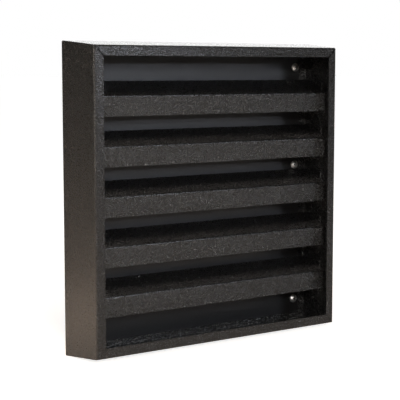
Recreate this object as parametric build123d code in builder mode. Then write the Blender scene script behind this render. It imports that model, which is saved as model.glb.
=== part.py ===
from build123d import *
import os
from math import cos, hypot, radians, sin

# Wall vent grille folded from sheet steel, in millimetres.
# +Z is up, the front faces -Y, and the origin is the centre of the back face that lies on the wall.

# Frame: four mitred channels, each with a front rim, a slanted wall and a rear lip.
front_width = 300.0
front_height = 300.0
frame_depth = 55.0
frame_flare = 5.0  # each wall stands this much further out at the back than at the front
rim_width = 10.0
rear_lip = 28.0
frame_sheet = 1.5
frame_bend = 2.0  # outside radius of the channel's folds
top_mitre_gap = 1.0  # the top corners stand a little open
bottom_mitre_gap = 0.3

# Blades: a hanging front lip, a slope that rises to the back, and a tab at each end.
blade_drop = 48.0  # from the frame's front top edge down to the first lip's top
blade_pitch = 49.0
blade_recess = 16.0  # from the frame's front plane back to the lip's face
blade_lip = 20.0
blade_slope = 30.3
blade_angle = 27.0
blade_sheet = 1.5
blade_bend = 2.0
least_bottom_gap = 30.0  # under the last lip
tab_height = 7.0
tab_setback = 6.0  # from the lip's face back to the start of the tab
tab_corner = 3.0
seat_gap = 0.1  # between sheets that lie on each other

# Back plate: lies on the rear lips, with one air slot hidden behind each blade.
plate_sheet = 1.5
plate_side_margin = 13.0  # from the frame's rear side edge to the plate's edge
plate_end_margin = 9.5  # from the frame's rear top or bottom edge to the plate's edge
plate_corner = 3.0
slot_height = 24.0
slot_drop = 4.0  # from the blade's rear edge down to the slot's top
slot_end_margin = 7.0  # from the rear lip's inner edge to the slot's end
slot_corner = 4.0

# Wall screws: through the back plate and the side lips, reached between the blades.
screw_side_inset = 19.0
screw_end_inset = 25.5
middle_screw_drop = 11.0  # below the lip of the blade over the middle gap
screw_shank = 4.8
screw_neck = 4.2  # plain part under the head, which ends at the wall
screw_length = 32.0
screw_point = 5.0
screw_head = 9.5
screw_head_height = 3.4
screw_head_rim = 0.9
screw_hole_clearance = 0.6
recess_span = 5.0
recess_width = 1.2
recess_depth = 1.8
recess_taper = 12.0

half_width = front_width / 2
half_height = front_height / 2
rear_half_width = half_width + frame_flare
rear_half_height = half_height + frame_flare
wall_run = hypot(frame_depth, frame_flare)

blade_run = blade_slope * cos(radians(blade_angle))
blade_rise = blade_slope * sin(radians(blade_angle))
lip_face = blade_recess - frame_depth
rear_edge = lip_face + blade_run
blade_room = front_height - blade_drop - blade_lip - least_bottom_gap
blade_count = 1 + int(blade_room // blade_pitch)
lip_tops = [half_height - blade_drop - blade_pitch * step for step in range(blade_count)]

plate_half_width = rear_half_width - plate_side_margin
plate_half_height = rear_half_height - plate_end_margin
plate_back = frame_sheet + seat_gap  # in front of the wall
plate_front = plate_back + plate_sheet
slot_length = 2 * (rear_half_width - rear_lip - slot_end_margin)

middle_lip = lip_tops[max(blade_count // 2 - 1, 0)]
screw_x = rear_half_width - screw_side_inset
screw_z = rear_half_height - screw_end_inset
screw_heights = [screw_z, middle_lip - blade_lip - middle_screw_drop, -screw_z]
screw_places = [(side * screw_x, height) for side in (-1, 1) for height in screw_heights]
screw_hole = screw_shank / 2 + screw_hole_clearance / 2

# Inner face of the right side wall, where the blades end.
right_wall = Plane(
    origin=(rear_half_width - frame_sheet * wall_run / frame_depth, 0, 0),
    x_dir=(frame_flare, frame_depth, 0),
    z_dir=(frame_depth, -frame_flare, 0),
)
blade_end = right_wall.offset(-seat_gap)

os.makedirs("parts", exist_ok=True)


def save(piece, name):
    """Names a finished piece and writes it."""
    piece.part.label = name
    export_step(piece.part, f"parts/{name}.step")


def channel_outline(half_size):
    """The channel's outer side as (depth, distance from the middle): rim, wall, rear lip."""
    return [
        (-frame_depth, half_size - rim_width),
        (-frame_depth, half_size),
        (0, half_size + frame_flare),
        (0, half_size + frame_flare - rear_lip),
    ]


def blade_outline(lip_top):
    """The blade's weather side as (depth, height): lip, then slope."""
    return [
        (lip_face, lip_top - blade_lip),
        (lip_face, lip_top),
        (rear_edge, lip_top + blade_rise),
    ]


def tab_outline(lip_top):
    """An end tab on the slanted wall, standing on the slope's sheet, as (along the wall, height)."""
    start = lip_face + tab_setback
    start_top = lip_top + blade_rise * tab_setback / blade_run
    end_top = lip_top + blade_rise
    root = blade_sheet / 2
    stretch = wall_run / frame_depth
    return [
        (start * stretch, start_top - root),
        (start * stretch, start_top + tab_height),
        (rear_edge * stretch, end_top + tab_height),
        (rear_edge * stretch, end_top - root),
    ]


# Frame channels: outward direction, direction along the channel, and the two half sizes.
channels = {
    "frame_top": (Vector(0, 0, 1), Vector(1, 0, 0), half_height, half_width),
    "frame_bottom": (Vector(0, 0, -1), Vector(-1, 0, 0), half_height, half_width),
    "frame_left": (Vector(-1, 0, 0), Vector(0, 0, 1), half_width, half_height),
    "frame_right": (Vector(1, 0, 0), Vector(0, 0, -1), half_width, half_height),
}
for name, (outward, along, half_size, half_length) in channels.items():
    with BuildPart() as channel:
        with BuildSketch(Plane(origin=(0, 0, 0), x_dir=(0, 1, 0), z_dir=along)):
            with BuildLine():
                outer = FilletPolyline(*channel_outline(half_size), radius=frame_bend)
                offset(outer, amount=frame_sheet, side=Side.RIGHT)
            make_face()
        extrude(amount=half_length + frame_flare, both=True)
        for end in (-1, 1):
            corner = outward * half_size + along * (end * half_length)
            gap = top_mitre_gap if corner.Z > 0 else bottom_mitre_gap
            mitre = Plane(origin=corner, z_dir=outward - along * end).offset(gap / 2)
            split(bisect_by=mitre, keep=Keep.TOP)
        with BuildSketch(Plane.XZ):
            with Locations(*screw_places):
                Circle(screw_hole)
        extrude(amount=frame_sheet, mode=Mode.SUBTRACT)
    save(channel, name)

# Louvre blades, from the top down: the right half is made and mirrored.
for number, lip_top in enumerate(lip_tops, start=1):
    with BuildPart() as blade:
        with BuildSketch(Plane.YZ):
            with BuildLine():
                weather_side = FilletPolyline(*blade_outline(lip_top), radius=blade_bend)
                offset(weather_side, amount=blade_sheet, side=Side.RIGHT)
            make_face()
        extrude(amount=rear_half_width)
        split(bisect_by=blade_end, keep=Keep.BOTTOM)
        with BuildSketch(blade_end):
            with BuildLine():
                tab_edge = FilletPolyline(*tab_outline(lip_top), radius=min(tab_corner, tab_height / 3))
                Line(tab_edge @ 0, tab_edge @ 1)
            make_face()
        extrude(amount=-blade_sheet)
        mirror(about=Plane.YZ)
    save(blade, f"louvre_blade_{number}")

# Back plate
slot_centres = [lip_top + blade_rise - slot_drop - slot_height / 2 for lip_top in lip_tops]
with BuildPart() as back_plate:
    with BuildSketch(Plane.XZ.offset(plate_back)):
        RectangleRounded(2 * plate_half_width, 2 * plate_half_height, plate_corner)
        with Locations(*[(0, centre) for centre in slot_centres]):
            RectangleRounded(slot_length, slot_height, slot_corner, mode=Mode.SUBTRACT)
        with Locations(*screw_places):
            Circle(screw_hole, mode=Mode.SUBTRACT)
    extrude(amount=plate_sheet)
save(back_plate, "back_plate")

# Pan-head screw with a cross recess, its axis along Y, its head seated on the back plate.
seat = -plate_front
head_top = seat - screw_head_height
tip = seat + screw_length
dome_rise = screw_head_height - screw_head_rim
dome_radius = ((screw_head / 2) ** 2 + dome_rise**2) / (2 * dome_rise)
with BuildPart() as screw:
    with BuildSketch(Plane.XY):
        with BuildLine():
            Polyline(
                (0, head_top),
                (0, tip),
                (screw_shank / 2, tip - screw_point),
                (screw_shank / 2, 0),
                (screw_neck / 2, 0),
                (screw_neck / 2, seat),
                (screw_head / 2, seat),
                (screw_head / 2, seat - screw_head_rim),
            )
            RadiusArc((screw_head / 2, seat - screw_head_rim), (0, head_top), dome_radius)
        make_face()
    revolve(axis=Axis.Y)
    with BuildSketch(Plane.XZ.offset(-head_top)):
        Rectangle(recess_span, recess_width)
        Rectangle(recess_width, recess_span)
    extrude(amount=-recess_depth, taper=recess_taper, mode=Mode.SUBTRACT)

with BuildPart() as wall_screws:
    with Locations(*[(x, 0, z) for x, z in screw_places]):
        add(screw.part)
save(wall_screws, "wall_screws")
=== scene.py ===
from math import cos, hypot, pi, radians, sin, sqrt

import bpy
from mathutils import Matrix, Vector


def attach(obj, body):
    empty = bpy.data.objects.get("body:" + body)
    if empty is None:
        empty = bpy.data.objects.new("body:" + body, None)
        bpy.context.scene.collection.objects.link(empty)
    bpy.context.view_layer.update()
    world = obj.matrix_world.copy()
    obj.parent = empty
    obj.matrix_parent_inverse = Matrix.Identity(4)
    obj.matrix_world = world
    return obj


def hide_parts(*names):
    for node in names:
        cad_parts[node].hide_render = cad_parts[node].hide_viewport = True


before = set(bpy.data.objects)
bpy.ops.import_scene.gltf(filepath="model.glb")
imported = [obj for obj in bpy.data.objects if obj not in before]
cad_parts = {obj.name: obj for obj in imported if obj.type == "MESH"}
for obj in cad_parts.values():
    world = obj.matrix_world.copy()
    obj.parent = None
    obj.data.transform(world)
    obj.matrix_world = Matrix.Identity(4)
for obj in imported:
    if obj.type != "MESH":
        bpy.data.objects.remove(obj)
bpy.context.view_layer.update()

# Wall vent grille of powder-coated sheet steel, in metres. The front faces -Y and +Z is up.

# Wall screws, with places and sizes as in the part
SCREW_X = 0.136
SCREW_HEIGHTS = (0.1295, 0.022, -0.1295)
SEAT = -0.0031  # depth of the face that the heads sit on
HEAD_RADIUS = 0.00475
HEAD_RIM = 0.0009
HEAD_HEIGHT = 0.0034
HEAD_EDGE = 0.0002  # bevel on the underside of the head
NECK_RADIUS = 0.0021
THREAD_RADIUS = 0.0024
THREAD_ROOT = 0.00175
THREAD_PITCH = 0.0016
THREAD_START = 0.002  # length over which the thread rises from the core
RIDGE_SHARE = 0.32  # half a ridge's width, as a share of the pitch
TIP = 0.0289
TIP_LENGTH = 0.0002
TIP_RADIUS = 0.00005
POINT_LENGTH = 0.005
RECESS_SPAN = 0.005
RECESS_WIDTH = 0.0012
RECESS_DEPTH = 0.0017
RECESS_CENTRE = 0.0012  # radius of the round middle
CENTRE_SLOPE = 0.0006  # widths over which the recess falls to its full depth
WALL_SLOPE = 0.0002
END_SLOPE = 0.0009
SCREW_SIDES = 72
HEAD_RINGS = 32
THREAD_RINGS = 120
SHARP_ANGLE = 38.0  # degrees

# Blades: height of the first blade's fold, the step to the next, and the edge of the smooth band on a fold
FOLD_MIDDLE = 0.1017
BLADE_PITCH = 0.049
FOLD_EDGE = (0.0008, 0.001)
FOLD_GRAIN = 0.2  # strength of the grain on a fold

# Powder coat: features per metre, and colours from the darkest to the lightest
FINE_GRAIN = 4000.0
COARSE_GRAIN = 600.0
CLOUDS = 9.0
COARSE_HEIGHT = 0.0006
FLECK_GAIN = 1.5  # flecks are this much lighter than the lightest cloud
ROUGHNESS_SPREAD = 0.05
GLOSS_ROUGHNESS = 0.2
WARM_BLACK = ((0.003, 0.0029, 0.0028), (0.0042, 0.0041, 0.004))
# The plate's black is tinted cool as painted light, standing in for the cool lamps it mirrors
BLACK_WITH_PAINTED_COOL_LIGHT = ((0.003, 0.003, 0.0031), (0.0042, 0.0042, 0.0044))

# Zinc plate
HANDLING_MARKS = 900.0
MARK_HEIGHT = 0.0001
MARK_STRENGTH = 0.12
ZINC_ROUGHNESS = (0.5, 0.4)
GREY_ZINC = (0.8, 0.8, 0.78)
BRIGHT_ZINC = (0.95, 0.95, 0.94)
# Painted shade: the zinc turns this dark in the cross recesses
PAINTED_SHADE_COLOUR = (0.03, 0.03, 0.028)

# Stage
MIDDLE = (0.0, 0.0, 0.0)
WHITE = (1.0, 1.0, 1.0, 1.0)
ROOM_LIGHT = 0.012
BACKDROP_DIRECTION = (0.575, 0.818, 0.0)
BACKDROP_EDGE = (0.86, 0.97)  # as the cosine of the angle to the backdrop's middle
FLOOR_HEIGHT = -0.155
FLOOR_REACH = 40
FLOOR_COLOUR = (0.8, 0.73, 0.65, 1.0)
FLOOR_MIRRORED = 0.03  # share of the floor's glow that shows in reflections
GLOW_REACH = (0.25, 0.6)  # distance from the part over which the floor turns white
GLOW_LEVELS = (0.82, 1.0)

# Camera at the photograph's viewing angle, for a 400 by 400 picture
PICTURE_WIDTH = 400.0
FOCAL_LENGTH = 1186.52  # in pixels
SENSOR_WIDTH = 36.0
CLIP_START = 0.05
CAMERA_PLACE = (-0.713256, -1.018289, 0.126169)
CAMERA_DIP = 6.24  # degrees below level
CAMERA_TURN = -35.371  # degrees about Z, from a view along +Y


def add_node(tree, kind, **values):
    """Adds a shader node and sets its inputs by name and its properties."""
    node = tree.nodes.new(kind)
    for key, value in values.items():
        if key in node.inputs:
            node.inputs[key].default_value = value
        else:
            setattr(node, key, value)
    return node


def calculate(tree, operation, first, second, clamp=False):
    """Joins two values by an operation. The second may be a plain number."""
    node = add_node(tree, "ShaderNodeMath", operation=operation, use_clamp=clamp)
    tree.links.new(first, node.inputs[0])
    if isinstance(second, float):
        node.inputs[1].default_value = second
    else:
        tree.links.new(second, node.inputs[1])
    return node.outputs[0]


def map_range(tree, source, span, result):
    """Maps a value from one span to another and holds it at the ends."""
    node = tree.nodes.new("ShaderNodeMapRange")
    tree.links.new(source, node.inputs["Value"])
    node.inputs["From Min"].default_value, node.inputs["From Max"].default_value = span
    node.inputs["To Min"].default_value, node.inputs["To Max"].default_value = result
    return node.outputs["Result"]


def ramp(tree, source, stops):
    """A colour ramp over a value, with stops of (position, grey or colour)."""
    node = tree.nodes.new("ShaderNodeValToRGB")
    tree.links.new(source, node.inputs["Fac"])
    elements = node.color_ramp.elements
    while len(elements) < len(stops):
        elements.new(0.5)
    for element, (position, value) in zip(elements, stops):
        element.position = position
        colour = (value, value, value) if isinstance(value, float) else value
        element.color = (*colour, 1.0)
    return node.outputs["Color"]


def noise(tree, place, scale, detail, roughness=0.55):
    """Noise in the part's own frame, with its scale in features per metre."""
    node = add_node(tree, "ShaderNodeTexNoise", Scale=scale, Detail=detail, Roughness=roughness)
    tree.links.new(place, node.inputs["Vector"])
    return node.outputs["Fac"]


def mix_colours(tree, amount, first, second):
    """Blends a colour output into a plain colour by an amount."""
    node = tree.nodes.new("ShaderNodeMix")
    node.data_type = "RGBA"
    factor, first_socket, second_socket = node.inputs[0], node.inputs[6], node.inputs[7]
    tree.links.new(amount, factor)
    tree.links.new(first, first_socket)
    second_socket.default_value = (*second, 1.0)
    return node.outputs[2]


def new_material(name):
    """A new node material: itself, its tree, its surface shader and its object coordinates."""
    material = bpy.data.materials.new(name)
    material.use_nodes = True
    tree = material.node_tree
    surface = tree.nodes["Principled BSDF"]
    place = tree.nodes.new("ShaderNodeTexCoord").outputs["Object"]
    return material, tree, surface, place


def fold_smoothness(tree, place):
    """1 on the blades' top folds, where the coat flows out smoothly, and 0 elsewhere."""
    parts = tree.nodes.new("ShaderNodeSeparateXYZ")
    tree.links.new(place, parts.inputs[0])
    offset = calculate(tree, "SUBTRACT", parts.outputs["Z"], FOLD_MIDDLE)
    away = calculate(tree, "PINGPONG", offset, BLADE_PITCH / 2)
    return map_range(tree, away, FOLD_EDGE, (1.0, 0.0))


def powder_coat(name, colours, reflectance, gloss, bump, relief_height, roughness=0.28, folded=False):
    """Black powder coat: a very fine grain over broader bumps, and faint clouds in the colour."""
    material, tree, surface, place = new_material(name)
    dark, light = colours
    fine = noise(tree, place, FINE_GRAIN, 0.0)
    coarse = noise(tree, place, COARSE_GRAIN, 1.0, 0.5)
    broad = noise(tree, place, CLOUDS, 3.0)
    cloud = ramp(tree, broad, [(0.3, dark), (0.72, light)])
    speck = ramp(tree, coarse, [(0.42, 0.0), (0.7, 1.0)])
    fleck = tuple(FLECK_GAIN * part for part in light)
    tree.links.new(mix_colours(tree, speck, cloud, fleck), surface.inputs["Base Color"])
    sheen = ramp(tree, coarse, [(0.3, roughness + ROUGHNESS_SPREAD), (0.7, roughness - ROUGHNESS_SPREAD)])
    tree.links.new(sheen, surface.inputs["Roughness"])
    surface.inputs["Specular IOR Level"].default_value = reflectance
    surface.inputs["Coat Weight"].default_value = gloss
    surface.inputs["Coat Roughness"].default_value = GLOSS_ROUGHNESS
    bumps = add_node(tree, "ShaderNodeBump", Strength=bump, Distance=COARSE_HEIGHT)
    tree.links.new(coarse, bumps.inputs["Height"])
    tree.links.new(bumps.outputs["Normal"], surface.inputs["Coat Normal"])
    relief = add_node(tree, "ShaderNodeBump", Strength=1.0, Distance=relief_height)
    tree.links.new(fine, relief.inputs["Height"])
    tree.links.new(bumps.outputs["Normal"], relief.inputs["Normal"])
    if folded:
        grain = ramp(tree, fold_smoothness(tree, place), [(0.0, 1.0), (1.0, FOLD_GRAIN)])
        tree.links.new(grain, relief.inputs["Strength"])
    tree.links.new(relief.outputs["Normal"], surface.inputs["Normal"])
    return material


def zinc(name):
    """Bright zinc plate with fine handling marks, and painted shade where the mesh says so."""
    material, tree, surface, place = new_material(name)
    marks = noise(tree, place, HANDLING_MARKS, 4.0)
    plating = ramp(tree, marks, [(0.3, GREY_ZINC), (0.7, BRIGHT_ZINC)])
    # Painted shade in the cross recesses, as the mesh gives it
    painted_recess_shade = add_node(tree, "ShaderNodeAttribute", attribute_name="painted_recess_shade")
    tree.links.new(mix_colours(tree, painted_recess_shade.outputs["Fac"], plating, PAINTED_SHADE_COLOUR), surface.inputs["Base Color"])
    dull, shiny = ZINC_ROUGHNESS
    tree.links.new(ramp(tree, marks, [(0.3, dull), (0.7, shiny)]), surface.inputs["Roughness"])
    surface.inputs["Metallic"].default_value = 1.0
    relief = add_node(tree, "ShaderNodeBump", Strength=MARK_STRENGTH, Distance=MARK_HEIGHT)
    tree.links.new(marks, relief.inputs["Height"])
    tree.links.new(relief.outputs["Normal"], surface.inputs["Normal"])
    return material


def smooth_step(value):
    """Runs smoothly from 0 to 1 while value does."""
    bounded = max(0.0, min(1.0, value))
    return bounded * bounded * (3.0 - 2.0 * bounded)


def recess_depth(across, along):
    """Depth of the cross recess at a point of the head."""
    deepest = smooth_step((RECESS_CENTRE - hypot(across, along)) / CENTRE_SLOPE)
    for side, run in ((across, along), (along, across)):
        wall = smooth_step((RECESS_WIDTH / 2 + WALL_SLOPE / 2 - abs(side)) / WALL_SLOPE)
        end = smooth_step((RECESS_SPAN / 2 - abs(run)) / END_SLOPE)
        deepest = max(deepest, wall * end)
    return RECESS_DEPTH * deepest


def screw_rings(angles):
    """The screw's surface as rings of (radius, depth) at the angles round its axis, from head to point."""
    dome_rise = HEAD_HEIGHT - HEAD_RIM
    dome_radius = (HEAD_RADIUS**2 + dome_rise**2) / (2 * dome_rise)
    rings = []
    for number in range(1, HEAD_RINGS + 1):
        radius = HEAD_RADIUS * number / HEAD_RINGS
        height = HEAD_RIM + sqrt(dome_radius**2 - radius**2) - (dome_radius - dome_rise)
        ring = []
        for angle in angles:
            sunk = recess_depth(radius * cos(angle), radius * sin(angle))
            ring.append((radius, SEAT - height + sunk))
        rings.append(ring)
    underside = (
        (HEAD_RADIUS, SEAT - HEAD_EDGE),
        (HEAD_RADIUS - HEAD_EDGE, SEAT),
        (NECK_RADIUS, SEAT),
        (NECK_RADIUS, 0.0),
    )
    for point in underside:
        rings.append([point] * len(angles))
    for number in range(THREAD_RINGS):
        depth = (TIP - TIP_LENGTH) * number / (THREAD_RINGS - 1)
        taper = smooth_step((TIP - depth) / POINT_LENGTH)
        start = smooth_step(depth / THREAD_START)
        ring = []
        for angle in angles:
            turn = (depth / THREAD_PITCH - angle / (2 * pi)) % 1.0
            ridge = max(0.0, 1.0 - abs(turn - 0.5) / RIDGE_SHARE)
            radius = THREAD_ROOT + (THREAD_RADIUS - THREAD_ROOT) * ridge * start
            ring.append((max(radius * taper, TIP_RADIUS), depth))
        rings.append(ring)
    return rings


def screw_faces(base, sides, ring_count):
    """Faces of one screw whose points start at base: a fan, strips between the rings, and a fan."""
    last = base + 1 + ring_count * sides
    faces = []
    for step in range(sides):
        after = (step + 1) % sides
        faces.append((base, base + 1 + step, base + 1 + after))
        for ring in range(ring_count - 1):
            here = base + 1 + ring * sides
            there = here + sides
            faces.append((here + step, there + step, there + after, here + after))
        end = last - sides
        faces.append((end + step, last, end + after))
    return faces


def screws_mesh(name):
    """Six pan-head screws with rolled threads and cross recesses darkened by painted shade, as one mesh.
    """
    angles = [2 * pi * step / SCREW_SIDES for step in range(SCREW_SIDES)]
    rings = screw_rings(angles)
    places = [(side * SCREW_X, height) for side in (-1, 1) for height in SCREW_HEIGHTS]
    # Painted shade at each point: full at the bottom of the cross recess, less where it is shallower, none
    # outside it
    points, faces, painted_recess_shade = [], [], []
    for x, z in places:
        faces.extend(screw_faces(len(points), SCREW_SIDES, len(rings)))
        points.append((x, SEAT - HEAD_HEIGHT + RECESS_DEPTH, z))
        painted_recess_shade.append(1.0)
        for ring in rings:
            for angle, (radius, depth) in zip(angles, ring):
                across = radius * cos(angle)
                along = radius * sin(angle)
                points.append((x + across, depth, z + along))
                painted_recess_shade.append(recess_depth(across, along) / RECESS_DEPTH if depth < SEAT else 0.0)
        points.append((x, TIP, z))
        painted_recess_shade.append(0.0)
    mesh = bpy.data.meshes.new(name)
    mesh.from_pydata(points, [], faces)
    mesh.attributes.new("painted_recess_shade", "FLOAT", "POINT").data.foreach_set("value", painted_recess_shade)
    mesh.shade_smooth()
    mesh.set_sharp_from_angle(angle=radians(SHARP_ANGLE))
    piece = bpy.data.objects.new(name, mesh)
    bpy.context.collection.objects.link(piece)
    return piece


# Finishes
FRAME_COAT = powder_coat(
    "frame_coat", WARM_BLACK, reflectance=0.5, gloss=0.65, bump=0.45, relief_height=0.00031
)
BLADE_COAT = powder_coat(
    "blade_coat", WARM_BLACK, reflectance=0.9, gloss=0.2, bump=0.28, relief_height=0.00036, folded=True
)
# The plate's cool tint is painted light
PLATE_COAT = powder_coat(
    "plate_coat", BLACK_WITH_PAINTED_COOL_LIGHT, reflectance=0.7, gloss=0.0, bump=0.1, relief_height=0.00007, roughness=0.38
)
SCREW_ZINC = zinc("screw_zinc")

for node_name, node_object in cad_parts.items():
    finish = FRAME_COAT
    if node_name.startswith("louvre_blade"):
        finish = BLADE_COAT
    elif node_name == "back_plate":
        finish = PLATE_COAT
    elif node_name == "wall_screws":
        finish = SCREW_ZINC
    for material_slot in node_object.material_slots:
        material_slot.material = finish

screws = screws_mesh("threaded_wall_screws")
screws.data.materials.append(SCREW_ZINC)
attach(screws, "root")
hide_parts("wall_screws")


def mirror_rays(tree, path):
    """1 for rays that a gloss or a glass has turned, and 0 for others."""
    glossy = path.outputs["Is Glossy Ray"]
    passed = path.outputs["Is Transmission Ray"]
    return calculate(tree, "ADD", glossy, passed, clamp=True)


def studio_world():
    """White to the camera. Reflections show a white backdrop behind the part and a dim room elsewhere."""
    world = bpy.data.worlds.new("studio")
    world.use_nodes = True
    tree = world.node_tree
    path = tree.nodes.new("ShaderNodeLightPath")
    facing = add_node(tree, "ShaderNodeVectorMath", operation="DOT_PRODUCT")
    tree.links.new(tree.nodes.new("ShaderNodeTexCoord").outputs["Generated"], facing.inputs[0])
    facing.inputs[1].default_value = BACKDROP_DIRECTION
    backdrop = map_range(tree, facing.outputs["Value"], BACKDROP_EDGE, (ROOM_LIGHT, 1.0))
    strength = tree.nodes.new("ShaderNodeMix")
    tree.links.new(mirror_rays(tree, path), strength.inputs[0])
    strength.inputs[2].default_value = ROOM_LIGHT
    tree.links.new(backdrop, strength.inputs[3])
    surround = calculate(tree, "ADD", strength.outputs[0], path.outputs["Is Camera Ray"], clamp=True)
    background = tree.nodes["Background"]
    tree.links.new(surround, background.inputs["Strength"])
    background.inputs["Color"].default_value = WHITE
    return world


def floor_paint():
    """Pale floor that glows white to the camera, a little less near the part, and keeps the shadow."""
    material, tree, surface, place = new_material("floor")
    surface.inputs["Base Color"].default_value = FLOOR_COLOUR
    surface.inputs["Roughness"].default_value = 0.9
    surface.inputs["Specular IOR Level"].default_value = 0.1
    surface.inputs["Emission Color"].default_value = WHITE
    path = tree.nodes.new("ShaderNodeLightPath")
    distance = add_node(tree, "ShaderNodeVectorMath", operation="LENGTH")
    tree.links.new(place, distance.inputs[0])
    glow = map_range(tree, distance.outputs["Value"], GLOW_REACH, GLOW_LEVELS)
    mirrored = calculate(tree, "MULTIPLY", mirror_rays(tree, path), FLOOR_MIRRORED)
    shown = calculate(tree, "ADD", path.outputs["Is Camera Ray"], mirrored, clamp=True)
    tree.links.new(calculate(tree, "MULTIPLY", shown, glow), surface.inputs["Emission Strength"])
    return material


# Stage: a white surround, and a pale floor that keeps the shadow
scene = bpy.context.scene
scene.view_settings.view_transform = "Standard"
scene.world = studio_world()

floor_mesh = bpy.data.meshes.new("floor")
floor_corners = [
    (-FLOOR_REACH, -FLOOR_REACH, FLOOR_HEIGHT),
    (FLOOR_REACH, -FLOOR_REACH, FLOOR_HEIGHT),
    (FLOOR_REACH, FLOOR_REACH, FLOOR_HEIGHT),
    (-FLOOR_REACH, FLOOR_REACH, FLOOR_HEIGHT),
]
floor_mesh.from_pydata(floor_corners, [], [(0, 1, 2, 3)])
floor = bpy.data.objects.new("floor", floor_mesh)
bpy.context.collection.objects.link(floor)
floor_mesh.materials.append(floor_paint())


def lamp(name, place, target, size, watts, colour, spread=180.0):
    """A soft lamp that looks at a point, with its beam spread in degrees."""
    light = bpy.data.lights.new(name, "AREA")
    light.shape = "RECTANGLE"
    light.size, light.size_y = size
    light.spread = radians(spread)
    light.energy = watts
    light.color = colour
    holder = bpy.data.objects.new(name, light)
    holder.location = place
    holder.rotation_euler = (Vector(target) - Vector(place)).to_track_quat("-Z", "Y").to_euler()
    holder.visible_camera = False
    bpy.context.collection.objects.link(holder)


# Front lamps: the key from the left, and two cool ones at the right that the plate and the rims mirror
lamp("key", (-0.889, -1.907, 0.643), MIDDLE, (0.37, 0.2), 21.5, (1.0, 0.96, 0.93))
lamp("sheen", (0.72, -1.978, 0.64), MIDDLE, (0.25, 0.2), 5.5, (0.8, 0.9, 1.0))
lamp("glint", (0.953, -1.954, 0.41), MIDDLE, (0.2, 0.1), 4.2, (0.84, 0.87, 1.0))

# Warm lamps over the floor, the left side's fill, and a weak one behind
lamp("top", (-0.3, -0.55, 1.2), (-0.15, -0.1, FLOOR_HEIGHT), (0.4, 0.4), 5.0, (1.0, 0.88, 0.8))
lamp("top_right", (0.28, -0.5, 1.2), (0.0, -0.1, FLOOR_HEIGHT), (0.4, 0.4), 1.0, (1.0, 0.88, 0.8))
lamp("pool", (-0.5, 0.12, 0.6), (-0.42, 0.06, FLOOR_HEIGHT), (0.1, 0.1), 0.86, (1.0, 0.82, 0.7), 45.0)
lamp("left", (-2.1, 0.35, 0.25), MIDDLE, (0.6, 0.4), 11.0, (1.0, 0.91, 0.82))
lamp("back", (0.95, 1.35, 0.45), (0.0, 0.0, 0.15), (1.2, 0.5), 1.8, (1.0, 1.0, 1.0))

# Camera
camera_data = bpy.data.cameras.new("camera")
camera_data.sensor_width = SENSOR_WIDTH
camera_data.lens = FOCAL_LENGTH * SENSOR_WIDTH / PICTURE_WIDTH
camera_data.clip_start = CLIP_START
camera = bpy.data.objects.new("camera", camera_data)
camera.location = CAMERA_PLACE
camera.rotation_euler = (radians(90.0 - CAMERA_DIP), 0.0, radians(CAMERA_TURN))
bpy.context.collection.objects.link(camera)
scene.camera = camera
